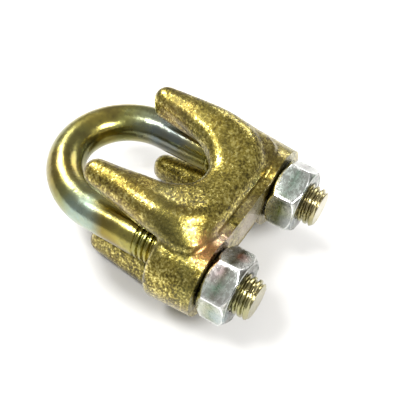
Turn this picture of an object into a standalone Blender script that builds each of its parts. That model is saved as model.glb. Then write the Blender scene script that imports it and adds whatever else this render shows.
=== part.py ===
"""Wire rope clip: a U-bolt, a cast saddle with four horns, and two hexagon nuts.

Run with: blender --background --python part.py

Metres, +Z up. The clip lies on its back with the rope's axis along Z: X runs from the near
leg to the far leg, and Y runs along the legs, from the bolt ends to the top of the bow.
"""

import math

import bmesh
import bpy
import numpy as np
from mathutils import Matrix

# ---------------------------------------------------------------- driving dimensions
ROD_RADIUS = 0.005            # round rod of the U-bolt, and its M10 thread
LEG_SPACING = 0.032           # between the two leg axes
BOW_START = 0.0341            # nut seat to where the straight legs end
BOW_RISE = 0.0170             # height of the bow's half ellipse, at the rod's centre
BOLT_REACH = 0.0120           # nut seat to the bolt ends
BOLT_CHAMFER = 0.0005
RUNNING_GAP = 0.0005          # rod to the saddle's holes, all round
FACE_GAP = 0.0003             # nut to saddle, and rod to nut

NUT_ACROSS_FLATS = 0.016
NUT_HEIGHT = 0.0076
NUT_CHAMFER = 0.0015          # taken off each corner, along the axis
NUT_CHAMFER_SLOPE = math.radians(40.0)
NUT_MOUTH = 0.0005            # countersink at both ends of the bore
NUTS = {                      # which leg, and one corner's angle from +X
    "nut_near": (-1, math.radians(33.5)),
    "nut_far": (1, math.radians(20.7)),
}

BOSS_SEAT_RADIUS = 0.0104     # boss around each leg, at the nut seat
BOSS_TOP_RADIUS = 0.0111
BOSS_HEIGHT = 0.0130
BOSS_EDGE = 0.0020            # rounding of the boss's upper edge
# Half of the plan of the web, the block under the rope: from the mid-plane, and out to its face.
WEB_PLAN = ((0.0, 0.0084), (0.0050, 0.0086), (0.0085, 0.0088), (0.0102, 0.0086))
WEB_HEIGHT = 0.0145
RELIEF_START = -0.0013        # behind this, the web's underside slopes away at 45 degrees
ROPE_SEAT_RADIUS = 0.0083
ROPE_SEAT_FLOOR = 0.0130      # nut seat to the flat along the bottom of the rope seat

# A cheek is two horns joined by a U. It is built from round tubes: the core, the fillet along
# the notch, the ridge along the outer edge and the flank on the inner side. Half of each, from a
# horn's tip to the mid-plane: distance from the mid-plane, from the nut seat and from the leg
# plane, and radius.
CORE_STATIONS = (
    (0.0145, 0.0332, 0.0136, 0.0033),
    (0.0147, 0.0240, 0.0131, 0.0042),
    (0.0149, 0.0180, 0.0123, 0.0048),
    (0.0146, 0.0140, 0.0115, 0.0051),
    (0.0135, 0.0105, 0.0107, 0.0053),
    (0.0110, 0.0082, 0.0102, 0.0052),
    (0.0076, 0.0072, 0.0100, 0.0048),
    (0.0000, 0.0068, 0.0100, 0.0045),
)
FILLET_STATIONS = (
    (0.0137, 0.0270, 0.0133, 0.0034),
    (0.0131, 0.0230, 0.0130, 0.0038),
    (0.0119, 0.0178, 0.0122, 0.0040),
    (0.0085, 0.0131, 0.0112, 0.0040),
    (0.0045, 0.0103, 0.0105, 0.0040),
    (0.0000, 0.0095, 0.0104, 0.0039),
)
RIDGE_STATIONS = (
    (0.0160, 0.0250, 0.0128, 0.0020),
    (0.0172, 0.0180, 0.0120, 0.0020),
    (0.0182, 0.0125, 0.0112, 0.0020),
    (0.0186, 0.0085, 0.0108, 0.0019),
    (0.0180, 0.0055, 0.0105, 0.0018),
    (0.0160, 0.0042, 0.0103, 0.0017),
    (0.0130, 0.0038, 0.0102, 0.0015),
    (0.0070, 0.0035, 0.0100, 0.0014),
    (0.0000, 0.0034, 0.0098, 0.0013),
)
FLANK_STATIONS = (
    (0.0140, 0.0329, 0.0113, 0.0031),
    (0.0143, 0.0240, 0.0108, 0.0039),
    (0.0145, 0.0180, 0.0103, 0.0045),
    (0.0140, 0.0140, 0.0100, 0.0048),
    (0.0125, 0.0105, 0.0096, 0.0050),
    (0.0100, 0.0085, 0.0093, 0.0049),
    (0.0060, 0.0075, 0.0090, 0.0046),
    (0.0000, 0.0070, 0.0090, 0.0045),
)

# ---------------------------------------------------------------- fineness
ROUND_SEGMENTS = 32
ROPE_SEAT_SEGMENTS = 20
ROD_SIDE_STEPS = 8            # curve bevel resolution: 2 * (8 + 2) = 20 sides
BOW_STEPS = 28
STATION_STEPS = 3             # rings between two stations of a cheek
TIP_STEPS = 4
OVERSIZE = 0.002              # how far a cutter runs past what it cuts

# ---------------------------------------------------------------- worked out from those
LENGTH = BOLT_REACH + BOW_START + BOW_RISE + ROD_RADIUS
SEAT_Y = BOLT_REACH - LENGTH / 2
LEG_X = LEG_SPACING / 2
LEG_Z = max(out + radius for _, _, out, radius in CORE_STATIONS)
FRAME = (0.0, SEAT_Y, LEG_Z)  # mid-plane, nut seat, leg plane
ALONG_LEG = (-math.pi / 2, 0.0, 0.0)   # turns a shape's own +Z to +Y


# ---------------------------------------------------------------- helpers
def clear_scene():
    for obj in list(bpy.data.objects):
        bpy.data.objects.remove(obj, do_unlink=True)


def new_collection(name):
    collection = bpy.data.collections.new(name)
    bpy.context.scene.collection.children.link(collection)
    return collection


def material(name, colour, roughness, metallic):
    made = bpy.data.materials.new(name)
    made.use_nodes = True
    shader = made.node_tree.nodes["Principled BSDF"]
    shader.inputs["Base Color"].default_value = (*colour, 1.0)
    shader.inputs["Roughness"].default_value = roughness
    shader.inputs["Metallic"].default_value = metallic
    return made


def add_object(name, data, collection, location=FRAME, rotation=(0.0, 0.0, 0.0)):
    obj = bpy.data.objects.new(name, data)
    obj.location = location
    obj.rotation_euler = rotation
    collection.objects.link(obj)
    return obj


def leg_point(side):
    """Where a leg's axis crosses the nut seat."""
    return (side * LEG_X, SEAT_Y, LEG_Z)


def welded_mesh(obj, name):
    """A curve or a modified object as one closed mesh."""
    shape = obj.evaluated_get(bpy.context.evaluated_depsgraph_get())
    mesh = bpy.data.meshes.new_from_object(shape)
    mesh.name = name
    work = bmesh.new()
    work.from_mesh(mesh)
    bmesh.ops.remove_doubles(work, verts=work.verts, dist=1e-6)
    bmesh.ops.recalc_face_normals(work, faces=work.faces)
    work.to_mesh(mesh)
    work.free()
    return mesh


def replace_curve(obj):
    """Swap a curve object for a mesh object of the same name and place."""
    bpy.context.view_layer.update()
    name, collection, matrix = obj.name, obj.users_collection[0], obj.matrix_world.copy()
    mesh = welded_mesh(obj, name)
    bpy.data.objects.remove(obj, do_unlink=True)
    made = add_object(name, mesh, collection)
    made.matrix_world = matrix
    return made


def primitive(name, collection, build, location=FRAME, rotation=(0.0, 0.0, 0.0)):
    """A mesh object made by one bmesh primitive call."""
    mesh = bpy.data.meshes.new(name)
    work = bmesh.new()
    build(work)
    work.to_mesh(mesh)
    work.free()
    return add_object(name, mesh, collection, location, rotation)


def block(name, collection, low, high):
    """A box between two corners, measured in the clip's own frame."""
    low, high = np.array(low), np.array(high)

    def build(work):
        made = bmesh.ops.create_cube(work, size=1.0)
        bmesh.ops.scale(work, vec=high - low, verts=made["verts"])
        bmesh.ops.translate(work, vec=(low + high) / 2, verts=made["verts"])

    return primitive(name, collection, build)


def turned(name, collection, profile, location, ring=False):
    """A shape turned about a leg: profile points are (radius, distance past the nut seat)."""
    mesh = bpy.data.meshes.new(name)
    work = bmesh.new()
    verts = [work.verts.new((radius, 0.0, along)) for radius, along in profile]
    for first, second in zip(verts, verts[1:]):
        work.edges.new((first, second))
    if ring:
        work.edges.new((verts[-1], verts[0]))
    work.to_mesh(mesh)
    work.free()
    obj = add_object(name, mesh, collection, location, ALONG_LEG)
    screw = obj.modifiers.new("turn", "SCREW")
    screw.steps = screw.render_steps = ROUND_SEGMENTS
    screw.use_merge_vertices = True
    screw.merge_threshold = 1e-6
    return obj


def as_cutter(obj):
    obj.hide_render = True
    obj.display_type = "WIRE"
    return obj


def boolean(obj, other, operation):
    modifier = obj.modifiers.new(f"{operation.lower()} {other.name}", "BOOLEAN")
    modifier.object = other
    modifier.operation = operation
    modifier.solver = "EXACT"


def poly_tube(name, collection, points, radii, side_steps):
    """A round tube through the points, with its own radius at each, and filled ends."""
    curve = bpy.data.curves.new(name, "CURVE")
    curve.dimensions = "3D"
    curve.twist_mode = "MINIMUM"
    curve.bevel_depth = 1.0
    curve.bevel_resolution = side_steps
    curve.use_fill_caps = True
    spline = curve.splines.new("POLY")
    spline.points.add(len(points) - 1)
    for knot, point, radius in zip(spline.points, points, radii):
        knot.co = (*point, 1.0)
        knot.radius = radius
    return add_object(name, curve, collection)


def shade(obj, angle=35.0):
    obj.data.shade_smooth()
    obj.data.set_sharp_from_angle(angle=math.radians(angle))


# ---------------------------------------------------------------- U-bolt
def u_bolt_path():
    """Centres and radii along one leg, round the bow and down the other leg."""
    legs = [(-BOLT_REACH, ROD_RADIUS - BOLT_CHAMFER), (-BOLT_REACH + BOLT_CHAMFER, ROD_RADIUS),
            (0.0, ROD_RADIUS), (BOW_START / 2, ROD_RADIUS)]
    near = [((-LEG_X, along, 0.0), radius) for along, radius in legs]
    far = [((LEG_X, along, 0.0), radius) for along, radius in reversed(legs)]
    bow = []
    for angle in np.linspace(0.0, math.pi, BOW_STEPS + 1):
        across, along = -LEG_X * math.cos(angle), BOW_START + BOW_RISE * math.sin(angle)
        bow.append(((across, along, 0.0), ROD_RADIUS))
    return zip(*(near + bow + far))


def make_u_bolt(parts):
    points, radii = u_bolt_path()
    rod = replace_curve(poly_tube("u_bolt", parts, points, radii, ROD_SIDE_STEPS))
    shade(rod)
    rod.data.materials.append(material("zinc_olive_rod", (0.33, 0.29, 0.13), 0.28, 1.0))
    return rod


# ---------------------------------------------------------------- saddle
def smooth_row(row, steps):
    """Catmull-Rom curve through the rows of an array, with steps rings to each gap."""
    row = np.vstack([2 * row[0] - row[1], row, 2 * row[-1] - row[-2]])
    made = []
    for before, start, end, after in zip(row, row[1:], row[2:], row[3:]):
        for share in np.arange(steps) / steps:
            cubic = share * (3 * (start - end) + after - before)
            square = share * (2 * before - 5 * start + 4 * end - after + cubic)
            made.append(start + 0.5 * share * (end - before + square))
    made.append(row[-2])
    return np.array(made)


def rounded_end(ring, neighbour):
    """Rings that close a tube's end as half a ball, nearest the tube first."""
    outward = ring[:3] - neighbour[:3]
    outward /= np.linalg.norm(outward)
    rings = []
    for step in range(1, TIP_STEPS + 1):
        angle = math.pi / 2 * step / (TIP_STEPS + 0.35)
        centre = ring[:3] + outward * ring[3] * math.sin(angle)
        rings.append([*centre, ring[3] * math.cos(angle)])
    return np.array(rings)


def make_u_tube(name, stations, face, cutters):
    """A round U from one horn to the other, on the front (face 1) or the back (face -1)."""
    half = np.array(stations) * (1, 1, face, 1)
    rings = smooth_row(np.vstack([half, half[-2::-1] * (-1, 1, 1, 1)]), STATION_STEPS)
    first = rounded_end(rings[0], rings[1])[::-1]
    last = rounded_end(rings[-1], rings[-2])
    rings = np.vstack([first, rings, last])
    tube = poly_tube(name, cutters, rings[:, :3], rings[:, 3], ROD_SIDE_STEPS)
    return as_cutter(replace_curve(tube))


def boss_profile():
    """Section of a boss, from the top of its hole down the outer side and back inside."""
    hole = ROD_RADIUS + RUNNING_GAP
    profile = [(hole, BOSS_HEIGHT)]
    for angle in np.linspace(0.0, math.pi / 2, 5):
        profile.append((BOSS_TOP_RADIUS - BOSS_EDGE * (1 - math.sin(angle)),
                        BOSS_HEIGHT - BOSS_EDGE * (1 - math.cos(angle))))
    profile += [(BOSS_SEAT_RADIUS, 0.0), (BOSS_SEAT_RADIUS, -OVERSIZE), (hole, -OVERSIZE)]
    return profile


def rope_seat_cutter(cutters):
    """A round cutter along the rope, turned so that one of its flats is the seat's floor."""
    to_flat = ROPE_SEAT_RADIUS * math.cos(math.pi / ROPE_SEAT_SEGMENTS)
    depth = 4 * max(out for _, out in WEB_PLAN)

    def build(work):
        made = bmesh.ops.create_cone(
            work, cap_ends=True, segments=ROPE_SEAT_SEGMENTS,
            radius1=ROPE_SEAT_RADIUS, radius2=ROPE_SEAT_RADIUS, depth=depth)
        half_step = Matrix.Rotation(math.pi / ROPE_SEAT_SEGMENTS, 3, "Z")
        bmesh.ops.rotate(work, matrix=half_step, verts=made["verts"])
        bmesh.ops.translate(work, vec=(0, ROPE_SEAT_FLOOR + to_flat, 0), verts=made["verts"])

    return as_cutter(primitive("rope_seat", cutters, build))


def make_web(parts):
    """The block between the legs, from below the nut seat up to where the rope seat cuts it."""
    half = list(WEB_PLAN)
    front = [(-across, out) for across, out in half[:0:-1]] + half
    plan = front + [(across, -out) for across, out in front[::-1]]

    def build(work):
        lower = [work.verts.new((across, -OVERSIZE, out)) for across, out in plan]
        upper = [work.verts.new((across, WEB_HEIGHT, out)) for across, out in plan]
        work.faces.new(lower)
        work.faces.new(upper)
        for k in range(len(plan)):
            after = (k + 1) % len(plan)
            work.faces.new((lower[k], lower[after], upper[after], upper[k]))
        bmesh.ops.recalc_face_normals(work, faces=work.faces)

    return primitive("saddle", parts, build)


def relief_cutter(cutters):
    """A block whose upper face slopes away backwards from the nut seat."""
    reach = 2 * WEB_HEIGHT
    cutter = block("underside_relief", cutters, (-reach, -reach, -reach), (reach, 0.0, reach))
    cutter.location.z += RELIEF_START
    cutter.rotation_euler = (math.radians(45.0), 0.0, 0.0)
    return as_cutter(cutter)


def make_saddle(parts, cutters):
    saddle = make_web(parts)
    boolean(saddle, relief_cutter(cutters), "DIFFERENCE")
    for name, side in (("boss_near", -1), ("boss_far", 1)):
        boss = as_cutter(turned(name, cutters, boss_profile(), leg_point(side), ring=True))
        boolean(saddle, boss, "UNION")
    lines = {"core": CORE_STATIONS, "fillet": FILLET_STATIONS,
             "ridge": RIDGE_STATIONS, "flank": FLANK_STATIONS}
    for side, face in (("front", 1), ("back", -1)):
        for name, stations in lines.items():
            boolean(saddle, make_u_tube(f"{name}_{side}", stations, face, cutters), "UNION")
    wide = LEG_SPACING
    under = block("nut_seat_plane", cutters, (-wide, -10 * OVERSIZE, -wide), (wide, 0.0, wide))
    boolean(saddle, as_cutter(under), "DIFFERENCE")
    boolean(saddle, rope_seat_cutter(cutters), "DIFFERENCE")
    shade(saddle)
    saddle.data.materials.append(material("zinc_yellow_casting", (0.36, 0.29, 0.10), 0.42, 1.0))
    return saddle


# ---------------------------------------------------------------- nuts
def nut_chamfer_profile():
    """Outer side of the double cone that takes a nut's corners off, top to bottom."""
    corner = NUT_ACROSS_FLATS / math.sqrt(3)
    flare = NUT_CHAMFER / math.tan(NUT_CHAMFER_SLOPE)
    top, bottom = -FACE_GAP, -FACE_GAP - NUT_HEIGHT
    return [(0.0, top), (corner - flare, top), (corner, top - NUT_CHAMFER),
            (corner, bottom + NUT_CHAMFER), (corner - flare, bottom), (0.0, bottom)]


def nut_bore_profile():
    """Outer side of the bore cutter, with a countersink at both faces."""
    bore = ROD_RADIUS + FACE_GAP
    top, bottom = -FACE_GAP, -FACE_GAP - NUT_HEIGHT
    mouth = bore + NUT_MOUTH
    past = mouth + OVERSIZE
    return [(0.0, top + OVERSIZE), (past, top + OVERSIZE), (mouth, top), (bore, top - NUT_MOUTH),
            (bore, bottom + NUT_MOUTH), (mouth, bottom), (past, bottom - OVERSIZE),
            (0.0, bottom - OVERSIZE)]


def make_nut(name, side, turn, parts, cutters):
    def hexagon(work):
        made = bmesh.ops.create_cone(
            work, cap_ends=True, segments=6, radius1=NUT_ACROSS_FLATS / math.sqrt(3),
            radius2=NUT_ACROSS_FLATS / math.sqrt(3), depth=NUT_HEIGHT)
        bmesh.ops.rotate(work, matrix=Matrix.Rotation(-turn - math.pi / 2, 3, "Z"), verts=made["verts"])
        bmesh.ops.translate(work, vec=(0, 0, -FACE_GAP - NUT_HEIGHT / 2), verts=made["verts"])

    nut = primitive(name, parts, hexagon, leg_point(side), ALONG_LEG)
    cones = as_cutter(turned(f"{name}_cones", cutters, nut_chamfer_profile(), leg_point(side)))
    bore = as_cutter(turned(f"{name}_bore", cutters, nut_bore_profile(), leg_point(side)))
    boolean(nut, cones, "INTERSECT")
    boolean(nut, bore, "DIFFERENCE")
    shade(nut, 20.0)
    nut.data.materials.append(material(f"zinc_silver_{name}", (0.55, 0.57, 0.56), 0.30, 1.0))
    return nut


# ---------------------------------------------------------------- whole clip
def main():
    clear_scene()
    parts = new_collection("wire_rope_clip")
    cutters = new_collection("cutters")
    make_u_bolt(parts)
    make_saddle(parts, cutters)
    for name, (side, turn) in NUTS.items():
        make_nut(name, side, turn, parts, cutters)


main()
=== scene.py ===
"""Wire rope clip, visual model: threaded U-bolt, cast saddle and two hexagon nuts on a pale floor.

Metres, +Z up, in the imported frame: X runs from the near leg to the far leg, Y along the legs
towards the bow, and Z along the rope. Heights called "along" are measured from the nut seat.
"""
import math

import bmesh
import bpy
import numpy as np
from mathutils import Matrix, Vector


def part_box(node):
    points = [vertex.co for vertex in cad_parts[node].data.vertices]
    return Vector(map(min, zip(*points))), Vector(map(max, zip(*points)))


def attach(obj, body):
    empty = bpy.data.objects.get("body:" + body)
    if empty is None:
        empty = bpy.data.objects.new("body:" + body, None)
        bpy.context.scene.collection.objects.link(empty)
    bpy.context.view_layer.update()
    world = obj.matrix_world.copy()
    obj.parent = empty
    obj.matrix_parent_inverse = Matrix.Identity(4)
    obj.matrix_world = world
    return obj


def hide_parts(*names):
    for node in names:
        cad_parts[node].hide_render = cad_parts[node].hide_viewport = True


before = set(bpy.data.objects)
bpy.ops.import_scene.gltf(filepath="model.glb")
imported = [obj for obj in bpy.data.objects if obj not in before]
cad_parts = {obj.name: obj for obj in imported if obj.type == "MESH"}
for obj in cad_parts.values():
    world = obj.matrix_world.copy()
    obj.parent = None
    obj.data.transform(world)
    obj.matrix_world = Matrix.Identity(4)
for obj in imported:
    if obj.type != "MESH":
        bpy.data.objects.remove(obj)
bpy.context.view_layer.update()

# ---------------------------------------------------------------- places, from the frame
BOLT_LOW, BOLT_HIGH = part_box("u_bolt")
SADDLE_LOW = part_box("saddle")[0]
NUT_LOW, NUT_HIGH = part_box("nut_near")
ROD_RADIUS = (BOLT_HIGH.z - BOLT_LOW.z) / 2
LEG_Z = (BOLT_HIGH.z + BOLT_LOW.z) / 2
LEG_X = (BOLT_HIGH.x - BOLT_LOW.x) / 2 - ROD_RADIUS
SEAT_Y = SADDLE_LOW.y
BOLT_END = BOLT_LOW.y - SEAT_Y            # along the leg, so negative
BOW_TOP = BOLT_HIGH.y - SEAT_Y
NUT_TOP = NUT_HIGH.y - SEAT_Y
NUT_BOTTOM = NUT_LOW.y - SEAT_Y

# ---------------------------------------------------------------- sizes
BOX_MARGIN = 0.00002         # the rod stays this far inside its solid
BOW_RISE = 0.0170            # the bow's half ellipse, at the rod's centre
BOLT_CHAMFER = 0.0007
PITCH = 0.0015
THREAD_DEPTH = 0.00072
THREAD_ROOT = 0.43           # the root starts this share of a pitch from the middle of the crest
THREAD_FLANK = 0.27          # share of a pitch between root and crest
THREAD_TOPS = (0.0203, 0.0196)   # where the near and far threads run out into the plain rod
RUN_OUT = 0.0011
THREAD_GAP = 0.00016         # nut thread to bolt thread, along the radius

ACROSS_FLATS = 0.016
NUT_CORNER_ROUND = 0.00035
NUT_FACE_RADIUS = 0.0078     # where the chamfer meets the flat face
NUT_CHAMFER_ANGLE = math.radians(44)
NUT_MOUTH_RADIUS = 0.0056
EDGE_ROUND = 0.00026
FACE_HIGHLIGHT = (0.0, 0.4, 0.4, 0.0)     # painted highlight over the round from a nut's face to its chamfer
EDGE_HIGHLIGHT = (0.5, 1.0, 1.0, 0.5)     # and over the round from the chamfer to a side
HIGHLIT_CORNER = 0.03           # an upright corner carries the painted highlight to this angle on either side, in radians
NUT_TURNS = {"nut_near": math.radians(33.5), "nut_far": math.radians(20.7)}
HALF_SECTOR = math.pi / 6    # from a hexagon's corner to the middle of its flat
CORNER_ANGLE = HALF_SECTOR - math.atan(math.tan(HALF_SECTOR)
                                       * (1 - NUT_CORNER_ROUND / (ACROSS_FLATS / 2)))
BORE_TOP_GAP = 0.0002        # from a nut's top face to the first row of its bore
BORE_BOTTOM_GAP = 0.0001     # the last row is at least this far from its bottom face

# A cheek is two horns joined by a U, filled out between round tubes: the core, the fillet along
# the notch, the ridge along the outer edge and the flank towards the leg plane. Half of each,
# from a horn's tip to the mid-plane: distance from the mid-plane, from the nut seat and from the
# leg plane, and radius.
CORE_STATIONS = (
    (0.0145, 0.0332, 0.0136, 0.0033),
    (0.0147, 0.0240, 0.0131, 0.0042),
    (0.0149, 0.0180, 0.0123, 0.0048),
    (0.0146, 0.0140, 0.0115, 0.0051),
    (0.0135, 0.0105, 0.0107, 0.0053),
    (0.0110, 0.0082, 0.0102, 0.0052),
    (0.0076, 0.0072, 0.0100, 0.0048),
    (0.0000, 0.0068, 0.0100, 0.0045),
)
FILLET_STATIONS = (
    (0.0137, 0.0270, 0.0133, 0.0034),
    (0.0131, 0.0230, 0.0130, 0.0038),
    (0.0119, 0.0178, 0.0122, 0.0040),
    (0.0085, 0.0131, 0.0112, 0.0040),
    (0.0045, 0.0103, 0.0105, 0.0040),
    (0.0000, 0.0095, 0.0104, 0.0039),
)
RIDGE_STATIONS = (
    (0.0160, 0.0250, 0.0128, 0.0020),
    (0.0172, 0.0180, 0.0120, 0.0020),
    (0.0182, 0.0125, 0.0112, 0.0020),
    (0.0186, 0.0085, 0.0108, 0.0019),
    (0.0180, 0.0055, 0.0105, 0.0018),
    (0.0160, 0.0042, 0.0103, 0.0017),
    (0.0130, 0.0038, 0.0102, 0.0015),
    (0.0070, 0.0035, 0.0100, 0.0014),
    (0.0000, 0.0034, 0.0098, 0.0013),
)
FLANK_STATIONS = (
    (0.0140, 0.0329, 0.0113, 0.0031),
    (0.0143, 0.0240, 0.0108, 0.0039),
    (0.0145, 0.0180, 0.0103, 0.0045),
    (0.0140, 0.0140, 0.0100, 0.0048),
    (0.0125, 0.0105, 0.0096, 0.0050),
    (0.0100, 0.0085, 0.0093, 0.0049),
    (0.0060, 0.0075, 0.0090, 0.0046),
    (0.0000, 0.0070, 0.0090, 0.0045),
)
BETWEEN_TUBES = 4            # tubes that fill a cheek between its core and another line

BOSS_SEAT_RADIUS = 0.0104
BOSS_TOP_RADIUS = 0.0111
BOSS_HEIGHT = 0.0130
BOSS_EDGE = 0.0020
LEG_HOLE_RADIUS = 0.0055
SEAT_STOCK = 0.002           # bosses and web start this far past the nut seat, and are cut back
# Half of the plan of the web, the block under the rope: distance from the mid-plane, and from
# the leg plane out to its face.
WEB_PLAN = ((0.0, 0.0084), (0.0050, 0.0086), (0.0085, 0.0088), (0.0102, 0.0086))
WEB_HEIGHT = 0.0145
RELIEF_START = -0.0013       # the web's underside slopes away behind this distance
RELIEF_ANGLE = math.radians(45)
PARTING_GROOVE = (0.0110, 0.0010, 0.0004)   # at the start of that slope: length, depth, breadth
ROPE_SEAT_RADIUS = 0.0083
ROPE_SEAT_FLOOR = 0.0130

# ---------------------------------------------------------------- fineness
ROD_SEGMENTS = 64
BOW_ROWS = 96
PLAIN_ROWS = 14              # of a leg, from its thread to the bow
PLAIN_START = 0.0006         # from the upper end of the longer thread to the first plain row
ROWS_PER_TURN = 14
ROUND_SEGMENTS = 64
FLAT_STEPS = 16              # across a nut's flat, and round its corner
CORNER_STEPS = 6
EDGE_STEPS = 3
BOSS_EDGE_POINTS = 7
STATION_STEPS = 6
TUBE_ROWS = 40               # along half of a tube
TUBE_SEGMENTS = 32
TIP_STEPS = 6
TIP_GAP = 0.35               # a horn's ball end stops this share of a step short of its pole
ROPE_CUT_LENGTH = 0.05
HOLE_CUT_LENGTH = 0.06
CAST_VOXEL = 0.00035
BLEND_PASSES = 8             # of smoothing, when the casting's shapes are blended
SEAT_PASSES = 4              # and once the rope seat is cut
GRAIN_SIZE = 0.0008          # pebbles of the casting's skin
GRAIN_DEPTH = 0.00007
GRAIN_LEVEL = 0.6            # the skin sinks where the noise is under this, and rises above it
MACHINED_SHARP = 40          # degrees between faces that still shade as one surface
CAST_SHARP = 50

# ---------------------------------------------------------------- looks
# Tints on each piece, and the painted reflections marked below: place (across, along, out),
# radius, strength and colour.
CASTING_PATCHES = (
    ((-0.0166, 0.0010, 0.0110), 0.0050, 0.65, (0.40, 0.15, 0.065)),
    ((-0.0110, 0.0010, 0.0080), 0.0050, 0.50, (0.62, 0.42, 0.36)),
    ((0.0178, 0.0340, 0.0120), 0.0060, 0.40, (0.34, 0.19, 0.05)),
    ((0.0130, 0.0280, 0.0110), 0.0080, 0.35, (0.42, 0.25, 0.10)),
    # painted reflection: dark olive on the near cheek's outer corner
    ((-0.0183, 0.0118, 0.0120), 0.0060, 0.55, (0.08, 0.07, 0.016)),
    ((0.0170, 0.0040, 0.0100), 0.0080, 0.45, (0.13, 0.075, 0.016)),
    # painted reflection: pale pinkish grey on the nut seat face, standing in for the mirrored
    # floor
    ((0.0000, 0.0000, 0.0030), 0.0075, 0.60, (0.55, 0.45, 0.38)),
    ((-0.0170, 0.0250, 0.0090), 0.0080, 0.40, (0.42, 0.29, 0.15)),
)
ROD_PATCHES = (
    ((0.0120, 0.0320, 0.0040), 0.0110, 0.90, (0.12, 0.16, 0.18)),
    ((-0.0165, 0.0370, 0.0045), 0.0080, 0.50, (0.17, 0.23, 0.17)),
    ((-0.0205, 0.0350, 0.0010), 0.0070, 0.60, (0.36, 0.54, 0.56)),
    # the next two rows are painted dark reflection on the left of the bow
    ((-0.0120, 0.0460, 0.0040), 0.0080, 0.60, (0.11, 0.075, 0.020)),
    ((-0.0040, 0.0490, 0.0030), 0.0070, 0.45, (0.12, 0.085, 0.025)),
    ((-0.0160, 0.0260, 0.0050), 0.0060, 0.50, (0.28, 0.26, 0.08)),
    ((-0.0160, -0.0110, 0.0000), 0.0080, 0.80, (0.50, 0.47, 0.32)),
    ((0.0160, -0.0110, 0.0000), 0.0080, 0.80, (0.50, 0.47, 0.32)),
)
NEAR_NUT_PATCHES = (
    # painted reflection: the top flat darkened where it would mirror the dark saddle
    ((-0.0120, -0.0041, 0.0078), 0.0088, 1.00, (0.045, 0.034, 0.010)),
    ((-0.0112, -0.0052, 0.0077), 0.0026, 0.60, (0.32, 0.085, 0.045)),
    ((-0.0204, -0.0045, 0.0067), 0.0048, 0.40, (0.085, 0.155, 0.095)),
    ((-0.0188, -0.0018, 0.0078), 0.0034, 0.60, (0.30, 0.14, 0.15)),
    ((-0.0240, -0.0035, -0.0005), 0.0055, 0.60, (0.34, 0.37, 0.17)),
    ((-0.0236, -0.0065, -0.0015), 0.0038, 0.60, (0.22, 0.36, 0.42)),
    # painted dark reflection on the near nut's bottom face
    ((-0.0160, -0.0085, 0.0000), 0.0085, 0.90, (0.15, 0.14, 0.145)),
)
FAR_NUT_PATCHES = (
    ((0.0132, -0.0041, 0.0075), 0.0070, 0.60, (0.21, 0.27, 0.23)),
    ((0.0081, -0.0036, 0.0013), 0.0058, 0.85, (0.21, 0.23, 0.055)),
    ((0.0090, -0.0068, -0.0010), 0.0036, 0.55, (0.16, 0.20, 0.26)),
    ((0.0211, -0.0041, 0.0062), 0.0050, 0.60, (0.20, 0.18, 0.19)),
    # painted dark reflection on the far nut's bottom face
    ((0.0160, -0.0085, 0.0000), 0.0085, 0.90, (0.15, 0.14, 0.145)),
)
NOISE_LOW, NOISE_HIGH = 0.35, 0.65   # noise seldom leaves this range
PATCH_CORE = 0.35            # share of a patch's radius that has its full strength
PATCH_BREAK = 0.35           # size of the noise that breaks a patch up, as a share of its radius
PATCH_THIN = 0.7             # strength that is left where the noise is lowest
COAT_ROUGHNESS = 0.22
CASTING_BUMP = 0.00013
ROD_BUMP = 0.00010
NUT_BUMP = 0.00003
HIGHLIGHT_STRENGTH = 0.85            # how far the painted highlight turns nut edges pale

# Each area light's name, place, size and power.
LIGHTS = (
    ("key", (0.14, 0.50, 0.50), (0.26, 0.26), 6.0),
    ("top", (-0.19, 0.14, 0.54), (0.12, 0.12), 1.8),
    ("side", (0.55, 0.02, 0.30), (0.22, 0.22), 0.9),
    ("front", (-0.08, -0.42, 0.48), (0.26, 0.18), 4.2),
)
LIGHT_AIM = Vector((0, 0, 0.01))
WORLD_COLOUR = (1.0, 0.985, 0.95, 1)
WORLD_STRENGTH = 0.42
FLOOR_COLOUR = (0.66, 0.655, 0.65, 1)
FLOOR_ROUGHNESS = 0.9
FLOOR_REACH = 4.0
FLOOR_DROP = 0.0001          # the floor lies this far under the clip

# ---------------------------------------------------------------- camera, in the clip's own axes
VIEW_TURN = math.radians(-61.472)
VIEW_HEIGHT = math.radians(52.078)
VIEW_ROLL = math.radians(4.782)
VIEW_DISTANCE = 0.193347
VIEW_AIM = Vector((0.0, 0.020, 0.0))       # from the middle of the nut seat
VIEW_SLIDE = (0.005525, -0.001586)         # camera's own right and up
LENS = 69.56


# ---------------------------------------------------------------- mesh helpers
def add_object(name, mesh):
    obj = bpy.data.objects.new(name, mesh)
    bpy.context.scene.collection.objects.link(obj)
    return obj


def grid_mesh(name, rows, closed=False):
    """A mesh from rings of points, an array of (ring, point, xyz). A closed grid's last ring
    joins its first; an open one gets a fan of triangles over each end."""
    rings, points = rows.shape[:2]
    work = bmesh.new()
    verts = [[work.verts.new(point) for point in ring] for ring in rows]
    for i in range(rings if closed else rings - 1):
        lower, upper = verts[i], verts[(i + 1) % rings]
        for j in range(points):
            k = (j + 1) % points
            work.faces.new((lower[j], lower[k], upper[k], upper[j]))
    if not closed:
        for ring, end in ((verts[0], rows[0]), (verts[-1], rows[-1])):
            middle = work.verts.new(end.mean(axis=0))
            for j in range(points):
                work.faces.new((ring[j], ring[(j + 1) % points], middle))
    bmesh.ops.recalc_face_normals(work, faces=work.faces)
    mesh = bpy.data.meshes.new(name)
    work.to_mesh(mesh)
    work.free()
    return mesh


def shade(obj, angle):
    obj.data.shade_smooth()
    obj.data.set_sharp_from_angle(angle=math.radians(angle))


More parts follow.
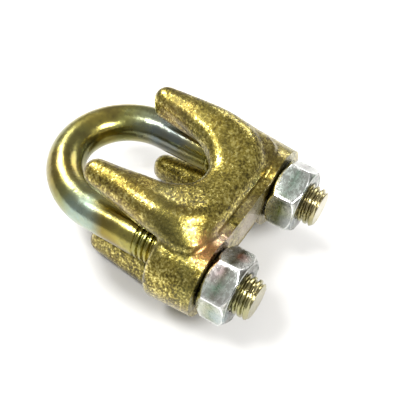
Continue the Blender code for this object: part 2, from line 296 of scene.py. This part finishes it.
def apply_modifiers(obj):
    """Replace the object's mesh with its evaluated one, and drop the modifiers."""
    shape = obj.evaluated_get(bpy.context.evaluated_depsgraph_get())
    mesh = bpy.data.meshes.new_from_object(shape)
    old = obj.data
    obj.modifiers.clear()
    obj.data = mesh
    bpy.data.meshes.remove(old)
    mesh.name = obj.name


def joined(name, meshes):
    """One object that holds all the meshes, which are used up."""
    work = bmesh.new()
    for mesh in meshes:
        work.from_mesh(mesh)
        bpy.data.meshes.remove(mesh)
    made = bpy.data.meshes.new(name)
    work.to_mesh(made)
    work.free()
    return add_object(name, made)


def cut(obj, mesh):
    """Take a closed mesh away from the object, at once. The mesh is used up."""
    cutter = add_object("cutter", mesh)
    modifier = obj.modifiers.new("cut", "BOOLEAN")
    modifier.object = cutter
    modifier.operation = "DIFFERENCE"
    modifier.solver = "EXACT"
    apply_modifiers(obj)
    bpy.data.objects.remove(cutter, do_unlink=True)
    bpy.data.meshes.remove(mesh)


def remesh(obj, passes):
    """Rebuild the object's skin as one even mesh, and smooth it."""
    fine = obj.modifiers.new("voxels", "REMESH")
    fine.mode = "VOXEL"
    fine.voxel_size = CAST_VOXEL
    smooth = obj.modifiers.new("smooth", "SMOOTH")
    smooth.iterations = passes
    smooth.factor = 0.5
    apply_modifiers(obj)


def block(low, high):
    """A box between two corners given from the middle of the nut seat."""
    mesh = bpy.data.meshes.new("block")
    low, high = Vector(low), Vector(high)
    work = bmesh.new()
    made = bmesh.ops.create_cube(work, size=1.0)
    bmesh.ops.scale(work, vec=high - low, verts=made["verts"])
    middle = (low + high) / 2 + Vector((0, SEAT_Y, LEG_Z))
    bmesh.ops.translate(work, vec=middle, verts=made["verts"])
    work.to_mesh(mesh)
    work.free()
    return mesh


def cylinder(radius, length, centre, turn):
    """A closed cylinder along Z, turned and then moved to its centre."""
    mesh = bpy.data.meshes.new("cylinder")
    work = bmesh.new()
    made = bmesh.ops.create_cone(work, cap_ends=True, segments=ROUND_SEGMENTS, radius1=radius,
                                 radius2=radius, depth=length)
    bmesh.ops.rotate(work, matrix=turn, verts=made["verts"])
    bmesh.ops.translate(work, vec=centre, verts=made["verts"])
    work.to_mesh(mesh)
    work.free()
    return mesh


# ---------------------------------------------------------------- thread
def thread_radius(along, angle):
    """Radius of the bolt's right-hand thread, with angle measured from +X towards +Z."""
    phase = np.mod(along / PITCH + angle / (2 * math.pi), 1.0)
    from_crest = np.minimum(phase, 1.0 - phase)
    rise = np.clip((THREAD_ROOT - from_crest) / THREAD_FLANK, 0.0, 1.0)
    rise = rise * rise * (3 - 2 * rise)
    return ROD_RADIUS - BOX_MARGIN - THREAD_DEPTH * (1 - rise)


def bolt_radius(along, angle, thread_top):
    """Radius of a leg: chamfered end, thread, run-out and plain rod."""
    plain = ROD_RADIUS - 2 * BOX_MARGIN
    share = np.clip((along - thread_top + RUN_OUT) / RUN_OUT, 0.0, 1.0)
    radius = thread_radius(along, angle) * (1 - share) + plain * share
    return np.minimum(radius, ROD_RADIUS - BOLT_CHAMFER + (along - BOLT_END))


# ---------------------------------------------------------------- U-bolt
def swept_rings(centres, directions, radii, angles):
    """Rings about a path that lies flat in the leg plane. Angle 0 points to the inside."""
    inside = np.stack([directions[:, 1], -directions[:, 0], 0 * directions[:, 0]], axis=1)
    flat = radii * np.cos(angles)
    rings = centres[:, None, :] + flat[:, :, None] * inside[:, None, :]
    rings[:, :, 2] += radii * np.sin(angles)
    return rings


def make_u_bolt():
    angles = np.linspace(0, 2 * math.pi, ROD_SEGMENTS, endpoint=False)
    bow_start = BOW_TOP - ROD_RADIUS - BOW_RISE
    top = max(THREAD_TOPS)
    threaded = np.arange(BOLT_END + BOX_MARGIN, top, PITCH / ROWS_PER_TURN)
    along = np.concatenate([threaded, np.linspace(top + PLAIN_START, bow_start, PLAIN_ROWS)])
    ups = np.full((len(along), 2), (0.0, 1.0))

    def leg(side, thread_top):
        centres = np.stack([0 * along + side * LEG_X, along, 0 * along], axis=1)
        true_angles = angles if side < 0 else math.pi - angles      # from +X on both legs
        radii = bolt_radius(along[:, None], true_angles[None, :], thread_top)
        return centres, np.column_stack([-side * ups, 0 * along]), radii

    turn = np.linspace(0, math.pi, BOW_ROWS + 1)[1:-1]
    bow = np.stack([-LEG_X * np.cos(turn), bow_start + BOW_RISE * np.sin(turn), 0 * turn], axis=1)
    way = np.stack([LEG_X * np.sin(turn), BOW_RISE * np.cos(turn), 0 * turn], axis=1)
    way /= np.linalg.norm(way, axis=1)[:, None]
    plain = np.full((len(turn), ROD_SEGMENTS), ROD_RADIUS - 2 * BOX_MARGIN)

    near, far = leg(-1, THREAD_TOPS[0]), leg(1, THREAD_TOPS[1])
    centres = np.vstack([near[0], bow, far[0][::-1]]) + (0, SEAT_Y, LEG_Z)
    directions = np.vstack([near[1], way, far[1][::-1]])
    radii = np.vstack([near[2], plain, far[2][::-1]])
    rings = swept_rings(centres, directions, radii, angles[None, :])
    obj = add_object("bolt_threaded_rod", grid_mesh("bolt_threaded_rod", rings))
    shade(obj, MACHINED_SHARP)
    return obj


# ---------------------------------------------------------------- nuts
def hexagon_angles(turn):
    """Angles round a nut, close together at the corners."""
    bend_start = HALF_SECTOR - CORNER_ANGLE
    flat = np.linspace(-bend_start, bend_start, FLAT_STEPS + 1)[:-1]
    bend = np.linspace(bend_start, HALF_SECTOR + CORNER_ANGLE, CORNER_STEPS + 1)[:-1]
    sector = np.concatenate([flat, bend])
    return np.concatenate([turn + HALF_SECTOR + sector + k * 2 * HALF_SECTOR for k in range(6)])


def angles_to_corner(angles, turn):
    """How far each angle is from the nearest corner of a hexagon with one corner at turn."""
    return np.abs(np.mod(angles - turn + HALF_SECTOR, 2 * HALF_SECTOR) - HALF_SECTOR)


def hexagon_radius(angles, turn):
    """Distance to the side of a hexagon with rounded corners. One corner is at turn."""
    flat = ACROSS_FLATS / 2
    from_corner = angles_to_corner(angles, turn)
    straight = flat / np.cos(HALF_SECTOR - from_corner)
    centre = (flat - NUT_CORNER_ROUND) / math.cos(HALF_SECTOR)
    inside = np.clip(NUT_CORNER_ROUND ** 2 - (centre * np.sin(from_corner)) ** 2, 0, None)
    rounded = centre * np.cos(from_corner) + np.sqrt(inside)
    return np.where(from_corner <= CORNER_ANGLE, rounded, straight)


def rounded_edge(before, edge, after):
    """Points of a small round between two straight runs: (radius, along) arrays."""
    return [before * (1 - share) ** 2 + 2 * edge * share * (1 - share) + after * share ** 2
            for share in np.linspace(0, 1, EDGE_STEPS + 1)]


def nut_outside(angles, turn):
    """Outer rings of a nut, from the bottom face's mouth to the top face's mouth, and how much
    painted highlight each ring carries, from 0 to 1."""
    side = hexagon_radius(angles, turn)
    middle = (NUT_TOP + NUT_BOTTOM) / 2
    half_height = (NUT_TOP - NUT_BOTTOM) / 2
    slope = math.tan(NUT_CHAMFER_ANGLE)
    drop = (side - NUT_FACE_RADIUS) * slope
    full = np.ones_like(side)
    e = EDGE_ROUND

    def point(radius, height):
        return np.stack([radius * full, height * full])

    mouth = point(NUT_MOUTH_RADIUS, half_height)
    between = point((NUT_MOUTH_RADIUS + NUT_FACE_RADIUS) / 2, half_height)
    face = rounded_edge(point(NUT_FACE_RADIUS - e, half_height),
                        point(NUT_FACE_RADIUS, half_height),
                        point(NUT_FACE_RADIUS + e, half_height - e * slope))
    edge = rounded_edge(point(side - e, half_height - drop + e * slope),
                        point(side, half_height - drop),
                        point(side, half_height - drop - e))
    top = [mouth, between, *face, *edge, point(side, 0.0)]
    highlit = [0.0, 0.0, *FACE_HIGHLIGHT, *EDGE_HIGHLIGHT, 0.0]
    bottom = [ring * np.array([[1], [-1]]) for ring in top[:-1]]
    rings = [ring + np.array([[0], [middle]]) for ring in bottom + top[::-1]]
    return rings, highlit[:-1] + highlit[::-1]


def make_nut(name, side):
    turn = NUT_TURNS[name]
    angles = hexagon_angles(turn)
    rows, highlit = nut_outside(angles, turn)
    for along in np.arange(NUT_TOP - BORE_TOP_GAP, NUT_BOTTOM + BORE_BOTTOM_GAP,
                           -PITCH / ROWS_PER_TURN):
        bore = thread_radius(along, angles) + THREAD_GAP
        mouth = NUT_MOUTH_RADIUS - min(NUT_TOP - along, along - NUT_BOTTOM)
        rows.append(np.stack([np.maximum(bore, mouth), np.full_like(angles, along)]))
    rows = np.array(rows)
    radius, along = rows[:, 0], rows[:, 1]
    points = np.stack([side * LEG_X + radius * np.cos(angles), SEAT_Y + along,
                       LEG_Z + radius * np.sin(angles)], axis=2)
    obj = add_object(f"{name}_hexagon", grid_mesh(f"{name}_hexagon", points, closed=True))
    # painted highlight: pale lines along the nut's rounded edges and upright corners, kept in the
    # 'edge' attribute
    highlight = np.zeros(radius.shape)
    highlight[:len(highlit)] = np.array(highlit)[:, None]
    middle = len(highlit) // 2
    upright = slice(middle - 2, middle + 3)     # rows from the lower highlit edge to the upper one
    highlight[upright] = np.maximum(highlight[upright], angles_to_corner(angles, turn) < HIGHLIT_CORNER)
    painted_edges = obj.data.attributes.new("edge", "FLOAT", "POINT")
    painted_edges.data.foreach_set("value", highlight.ravel().astype(np.float32))
    shade(obj, MACHINED_SHARP)
    return obj


# ---------------------------------------------------------------- saddle
def smooth_rows(row, steps):
    """Catmull-Rom curve through the rows of an array, with steps rings to each gap."""
    row = np.vstack([2 * row[0] - row[1], row, 2 * row[-1] - row[-2]])
    made = []
    for before, start, end, after in zip(row, row[1:], row[2:], row[3:]):
        for share in np.arange(steps) / steps:
            cubic = share * (3 * (start - end) + after - before)
            square = share * (2 * before - 5 * start + 4 * end - after + cubic)
            made.append(start + 0.5 * share * (end - before + square))
    made.append(row[-2])
    return np.array(made)


def half_line(stations):
    """Half of a U through the stations, in rows spaced evenly along it."""
    fine = smooth_rows(np.array(stations), STATION_STEPS)
    steps = np.linalg.norm(np.diff(fine[:, :2], axis=0), axis=1)
    where = np.concatenate([[0], np.cumsum(steps)])
    even = np.linspace(0, where[-1], TUBE_ROWS)
    return np.stack([np.interp(even, where, fine[:, k]) for k in range(4)], axis=1)


def horn_tube(half, face):
    """A round U with ball ends, from half its (across, along, out, radius) rows."""
    whole = np.vstack([half, half[-2::-1] * (-1, 1, 1, 1)])
    centres, radii = whole[:, :3] * (1, 1, face), whole[:, 3]
    way = np.gradient(centres, axis=0)
    way /= np.linalg.norm(way, axis=1)[:, None]
    for end, inner in ((0, 1), (-1, -2)):
        outward = centres[end] - centres[inner]
        outward /= np.linalg.norm(outward)
        turns = math.pi / 2 * np.arange(1, TIP_STEPS + 1) / (TIP_STEPS + TIP_GAP)
        ball = centres[end] + radii[end] * np.sin(turns)[:, None] * outward
        thin = radii[end] * np.cos(turns)
        ways = np.tile(way[end], (TIP_STEPS, 1))
        if end == 0:
            ball, thin = ball[::-1], thin[::-1]
            centres, radii, way = (np.concatenate(pair) for pair in
                                   ((ball, centres), (thin, radii), (ways, way)))
        else:
            centres, radii, way = (np.concatenate(pair) for pair in
                                   ((centres, ball), (radii, thin), (way, ways)))
    across = np.cross(way, (0, 0, 1.0))
    across /= np.linalg.norm(across, axis=1)[:, None]
    out = np.cross(across, way)
    angles = np.linspace(0, 2 * math.pi, TUBE_SEGMENTS, endpoint=False)
    ring = (np.cos(angles)[None, :, None] * across[:, None, :]
            + np.sin(angles)[None, :, None] * out[:, None, :])
    points = centres[:, None, :] + radii[:, None, None] * ring + (0, SEAT_Y, LEG_Z)
    return grid_mesh("horns", points)


def cheek_meshes(face):
    """The tubes that make up the front (face 1) or back (face -1) cheek."""
    core = half_line(CORE_STATIONS)
    tubes = [core]
    for stations in (FILLET_STATIONS, RIDGE_STATIONS, FLANK_STATIONS):
        edge = half_line(stations)
        shares = np.linspace(0, 1, BETWEEN_TUBES + 2)[1:]
        tubes += [core * (1 - share) + edge * share for share in shares]
    return [horn_tube(tube, face) for tube in tubes]


def boss_mesh(side):
    """A solid barrel round one leg, with a rounded upper edge."""
    profile = [(BOSS_SEAT_RADIUS, -SEAT_STOCK), (BOSS_SEAT_RADIUS, 0.0)]
    for angle in np.linspace(math.pi / 2, 0.0, BOSS_EDGE_POINTS):
        profile.append((BOSS_TOP_RADIUS - BOSS_EDGE * (1 - math.sin(angle)),
                        BOSS_HEIGHT - BOSS_EDGE * (1 - math.cos(angle))))
    angles = np.linspace(0, 2 * math.pi, ROUND_SEGMENTS, endpoint=False)
    rings = [np.stack([side * LEG_X + radius * np.cos(angles), 0 * angles + SEAT_Y + along,
                       LEG_Z + radius * np.sin(angles)], axis=1) for radius, along in profile]
    return grid_mesh("boss", np.array(rings))


def web_mesh():
    """The block under the rope, its underside sloping away on the back half."""
    side = [(-x, out) for x, out in WEB_PLAN[:0:-1]] + list(WEB_PLAN)
    plan = side + [(x, -out) for x, out in side[::-1]]
    rings = [[(x, SEAT_Y + along, LEG_Z + out) for x, out in plan]
             for along in (-SEAT_STOCK, WEB_HEIGHT)]
    web = add_object("web", grid_mesh("web", np.array(rings)))
    reach = WEB_HEIGHT * 2
    slope = block((-reach, -reach, -reach), (reach, 0.0, reach))
    middle = Vector((0, SEAT_Y, LEG_Z))
    slope.transform(Matrix.Translation(middle + Vector((0, 0, RELIEF_START)))
                    @ Matrix.Rotation(RELIEF_ANGLE, 4, "X") @ Matrix.Translation(-middle))
    cut(web, slope)
    mesh = web.data
    bpy.data.objects.remove(web)
    return mesh


def roughen(obj):
    """Raise and sink the skin a little, in pebbles."""
    pebbles = bpy.data.textures.new("pebbles", "CLOUDS")
    pebbles.noise_scale = GRAIN_SIZE
    pebbles.noise_depth = 2
    grain = obj.modifiers.new("grain", "DISPLACE")
    grain.texture = pebbles
    grain.texture_coords = "LOCAL"
    grain.mid_level = GRAIN_LEVEL
    grain.strength = GRAIN_DEPTH
    apply_modifiers(obj)


def make_saddle():
    shapes = cheek_meshes(1) + cheek_meshes(-1) + [boss_mesh(-1), boss_mesh(1), web_mesh()]
    saddle = joined("saddle_casting", shapes)
    remesh(saddle, BLEND_PASSES)
    rope_centre = (0, SEAT_Y + ROPE_SEAT_FLOOR + ROPE_SEAT_RADIUS, LEG_Z)
    cut(saddle, cylinder(ROPE_SEAT_RADIUS, ROPE_CUT_LENGTH, rope_centre, Matrix.Identity(3)))
    remesh(saddle, SEAT_PASSES)
    roughen(saddle)
    wide = LEG_X * 3
    cut(saddle, block((-wide, -wide, -wide), (wide, 0.0, wide)))
    length, depth, breadth = PARTING_GROOVE
    cut(saddle, block((-length / 2, -depth, RELIEF_START - breadth / 2),
                      (length / 2, depth, RELIEF_START + breadth / 2)))
    along_leg = Matrix.Rotation(math.pi / 2, 3, "X")
    for side in (-1, 1):
        leg = (side * LEG_X, SEAT_Y, LEG_Z)
        cut(saddle, cylinder(LEG_HOLE_RADIUS, HOLE_CUT_LENGTH, leg, along_leg))
    shade(saddle, CAST_SHARP)
    return saddle


# ---------------------------------------------------------------- materials
class Finish:
    """A metal made of procedural nodes, in the clip's own coordinates."""

    def __init__(self, name, coat):
        self.material = bpy.data.materials.new(name)
        self.material.use_nodes = True
        self.tree = self.material.node_tree
        self.shader = self.tree.nodes["Principled BSDF"]
        self.shader.inputs["Metallic"].default_value = 1.0
        self.shader.inputs["Coat Weight"].default_value = coat
        self.shader.inputs["Coat Roughness"].default_value = COAT_ROUGHNESS
        self.where = self.tree.nodes.new("ShaderNodeTexCoord").outputs["Object"]

    def put(self, socket, value):
        """Link the value to the socket, or set it there if it is a constant."""
        if isinstance(value, bpy.types.NodeSocket):
            self.tree.links.new(value, socket)
        elif isinstance(value, tuple) and socket.type == "RGBA":
            socket.default_value = (*value, 1.0)
        else:
            socket.default_value = value

    def node(self, kind, values, **settings):
        """A new node with the values on its sockets and the settings on itself."""
        made = self.tree.nodes.new(kind)
        for key, value in settings.items():
            setattr(made, key, value)
        for key, value in values.items():
            self.put(made.inputs[key], value)
        return made

    def noise(self, size, detail=2.0, roughness=0.5, stretch=(1, 1, 1)):
        """Noise between 0 and 1 with blotches of about the given size in metres."""
        scaled = self.node("ShaderNodeVectorMath", {0: self.where, 1: stretch},
                           operation="MULTIPLY")
        made = self.node("ShaderNodeTexNoise", {"Vector": scaled.outputs[0], "Scale": 1 / size,
                                                "Detail": detail, "Roughness": roughness})
        return made.outputs["Fac"]

    def spread(self, value, low, high, to_low=0.0, to_high=1.0):
        """The value carried over in a straight line from one range to another, and held there."""
        made = self.node("ShaderNodeMapRange", {"Value": value, "From Min": low, "From Max": high,
                                                "To Min": to_low, "To Max": to_high})
        return made.outputs["Result"]

    def times(self, first, second):
        return self.node("ShaderNodeMath", {0: first, 1: second}, operation="MULTIPLY").outputs[0]

    def plus(self, first, second):
        return self.node("ShaderNodeMath", {0: first, 1: second}, operation="ADD").outputs[0]

    def shades(self, value, stops):
        """A colour ramp from (position, colour) stops."""
        made = self.node("ShaderNodeValToRGB", {"Fac": value})
        ramp = made.color_ramp
        while len(ramp.elements) < len(stops):
            ramp.elements.new(0.5)
        for element, (position, colour) in zip(ramp.elements, stops):
            element.position = position
            element.color = (*colour, 1.0)
        return made.outputs["Color"]

    def mix(self, share, first, second):
        made = self.node("ShaderNodeMix", {}, data_type="RGBA", blend_type="MIX")
        for socket, value in ((made.inputs[0], share), (made.inputs[6], first),
                              (made.inputs[7], second)):
            self.put(socket, value)
        return made.outputs[2]

    def spot(self, centre, radius):
        """A soft round patch about a point (across, along, out), broken up by noise."""
        place = (centre[0], centre[1] + SEAT_Y, centre[2] + LEG_Z)
        gone = self.node("ShaderNodeVectorMath", {0: self.where, 1: place}, operation="DISTANCE")
        near = self.spread(gone.outputs["Value"], radius * PATCH_CORE, radius, 1.0, 0.0)
        broken = self.spread(self.noise(radius * PATCH_BREAK), NOISE_LOW, NOISE_HIGH,
                             PATCH_THIN, 1.0)
        return self.times(near, broken)

    def tinted(self, colour, patches):
        """The colour with each patch of a table laid over it in turn."""
        for centre, radius, strength, tint in patches:
            colour = self.mix(self.times(self.spot(centre, radius), strength), colour, tint)
        return colour

    def finish(self, colour, roughness, height, depth):
        self.put(self.shader.inputs["Base Color"], colour)
        self.put(self.shader.inputs["Roughness"], roughness)
        bump = self.node("ShaderNodeBump", {"Height": height, "Distance": depth, "Strength": 1.0})
        self.put(self.shader.inputs["Normal"], bump.outputs["Normal"])
        return self.material


def casting_finish():
    """Sand-cast iron under yellow zinc: olive gold with a bright, pebbly grain."""
    f = Finish("zinc_yellow_casting", 0.35)
    grain = f.noise(0.00060, 3.0, 0.65)
    pebble = f.noise(0.0014, 2.0, 0.6)
    blotch = f.noise(0.0050, 3.0, 0.6)
    level = f.plus(f.times(grain, 0.60), f.plus(f.times(pebble, 0.22), f.times(blotch, 0.18)))
    colour = f.shades(level, ((0.40, (0.046, 0.036, 0.006)), (0.48, (0.18, 0.142, 0.022)),
                              (0.54, (0.36, 0.290, 0.055)), (0.62, (0.86, 0.76, 0.28))))
    brown = f.times(f.spread(f.noise(0.020, 2.0), 0.45, 0.65), 0.35)
    colour = f.mix(brown, colour, (0.20, 0.115, 0.022))
    green = f.times(f.spread(f.noise(0.012, 2.0), 0.50, 0.68), 0.35)
    colour = f.mix(green, colour, (0.16, 0.17, 0.055))
    colour = f.tinted(colour, CASTING_PATCHES)
    rough = f.spread(grain, NOISE_LOW, NOISE_HIGH, 0.42, 0.22)
    height = f.plus(f.times(grain, 0.5), f.times(pebble, 0.5))
    return f.finish(colour, rough, height, CASTING_BUMP)


def rod_finish():
    """Smooth drawn rod under yellow zinc, with pale blue and brown bloom."""
    f = Finish("zinc_yellow_rod", 0.2)
    drift = f.noise(0.016, 2.0)
    bloom = f.noise(0.007, 3.0, 0.6)
    fine = f.noise(0.0012, 3.0, 0.6)
    colour = f.shades(drift, ((0.38, (0.22, 0.165, 0.030)), (0.50, (0.36, 0.30, 0.065)),
                              (0.62, (0.26, 0.255, 0.075))))
    colour = f.mix(f.times(f.spread(bloom, 0.54, 0.68), 0.35), colour, (0.20, 0.25, 0.18))
    colour = f.mix(f.times(f.spread(bloom, 0.46, 0.34), 0.35), colour, (0.16, 0.105, 0.03))
    colour = f.mix(f.times(f.spread(fine, 0.50, 0.70), 0.35), colour, (0.11, 0.095, 0.04))
    colour = f.tinted(colour, ROD_PATCHES)
    rough = f.spread(bloom, NOISE_LOW, NOISE_HIGH, 0.18, 0.30)
    height = f.plus(f.times(fine, 0.35), f.noise(0.0035, 2.0))
    return f.finish(colour, rough, height, ROD_BUMP)


def nut_finish(name, patches):
    """Machined steel under pale zinc, mottled with green, pink and blue bloom."""
    f = Finish(name, 0.05)
    mottle = f.noise(0.0012, 4.0, 0.70, (1, 1.5, 1))
    bloom = f.noise(0.0030, 3.0)
    colour = f.shades(mottle, ((0.39, (0.040, 0.065, 0.042)), (0.47, (0.12, 0.150, 0.110)),
                               (0.53, (0.21, 0.235, 0.185)), (0.62, (0.42, 0.42, 0.36))))
    colour = f.mix(f.times(f.spread(bloom, 0.50, 0.66), 0.35), colour, (0.25, 0.155, 0.165))
    colour = f.mix(f.times(f.spread(bloom, 0.50, 0.36), 0.35), colour, (0.12, 0.20, 0.13))
    colour = f.tinted(colour, patches)
    # painted highlight: the 'edge' lines turn the nut's colour pale
    painted_edges = f.node("ShaderNodeAttribute", {}, attribute_name="edge").outputs["Fac"]
    colour = f.mix(f.times(painted_edges, HIGHLIGHT_STRENGTH), colour, (0.95, 0.96, 0.94))
    rough = f.spread(mottle, 0.40, 0.60, 0.32, 0.18)
    return f.finish(colour, rough, mottle, NUT_BUMP)


# ---------------------------------------------------------------- stage
def make_camera():
    cos_h, sin_h = math.cos(VIEW_HEIGHT), math.sin(VIEW_HEIGHT)
    back = Vector((math.sin(VIEW_TURN) * cos_h, -math.cos(VIEW_TURN) * cos_h, sin_h))
    level = (-back).cross(Vector((0, 0, 1))).normalized()
    upright = level.cross(-back)
    right = level * math.cos(VIEW_ROLL) + upright * math.sin(VIEW_ROLL)
    up = upright * math.cos(VIEW_ROLL) - level * math.sin(VIEW_ROLL)
    camera = bpy.data.objects.new("camera", bpy.data.cameras.new("camera"))
    camera.data.lens = LENS
    camera.data.sensor_width = 36.0
    camera.data.clip_start = 0.005
    place = (VIEW_AIM + Vector((0, SEAT_Y, LEG_Z)) + right * VIEW_SLIDE[0] + up * VIEW_SLIDE[1]
             + back * VIEW_DISTANCE)
    facing = Matrix((right, up, back)).transposed().to_4x4()
    camera.matrix_world = Matrix.Translation(place) @ facing
    bpy.context.scene.collection.objects.link(camera)
    bpy.context.scene.camera = camera


def area_light(name, place, size, power):
    light = bpy.data.lights.new(name, "AREA")
    light.shape = "RECTANGLE"
    light.size, light.size_y = size
    light.energy = power
    obj = bpy.data.objects.new(name, light)
    obj.location = place
    aim = LIGHT_AIM - Vector(place)
    obj.rotation_euler = aim.to_track_quat("-Z", "Y").to_euler()
    bpy.context.scene.collection.objects.link(obj)


def make_lights():
    for name, place, size, power in LIGHTS:
        area_light(name, place, size, power)
    world = bpy.data.worlds.new("studio")
    world.use_nodes = True
    background = world.node_tree.nodes["Background"]
    background.inputs["Color"].default_value = WORLD_COLOUR
    background.inputs["Strength"].default_value = WORLD_STRENGTH
    bpy.context.scene.world = world


def make_floor():
    mesh = bpy.data.meshes.new("floor")
    work = bmesh.new()
    bmesh.ops.create_grid(work, x_segments=1, y_segments=1, size=FLOOR_REACH)
    work.to_mesh(mesh)
    work.free()
    floor = add_object("floor", mesh)
    floor.location.z = -FLOOR_DROP
    paint = bpy.data.materials.new("floor_white")
    paint.use_nodes = True
    shader = paint.node_tree.nodes["Principled BSDF"]
    shader.inputs["Base Color"].default_value = FLOOR_COLOUR
    shader.inputs["Roughness"].default_value = FLOOR_ROUGHNESS
    floor.data.materials.append(paint)


# ---------------------------------------------------------------- whole scene
def place_piece(obj, body, node, material):
    obj.data.materials.clear()
    obj.data.materials.append(material)
    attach(obj, body)
    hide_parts(node)


bpy.context.scene.view_settings.view_transform = "Standard"
make_camera()
make_lights()
make_floor()
place_piece(make_u_bolt(), "u_bolt", "u_bolt", rod_finish())
place_piece(make_saddle(), "saddle", "saddle", casting_finish())
for node, side, patches in (("nut_near", -1, NEAR_NUT_PATCHES), ("nut_far", 1, FAR_NUT_PATCHES)):
    place_piece(make_nut(node, side), node, node, nut_finish(f"{node}_zinc", patches))
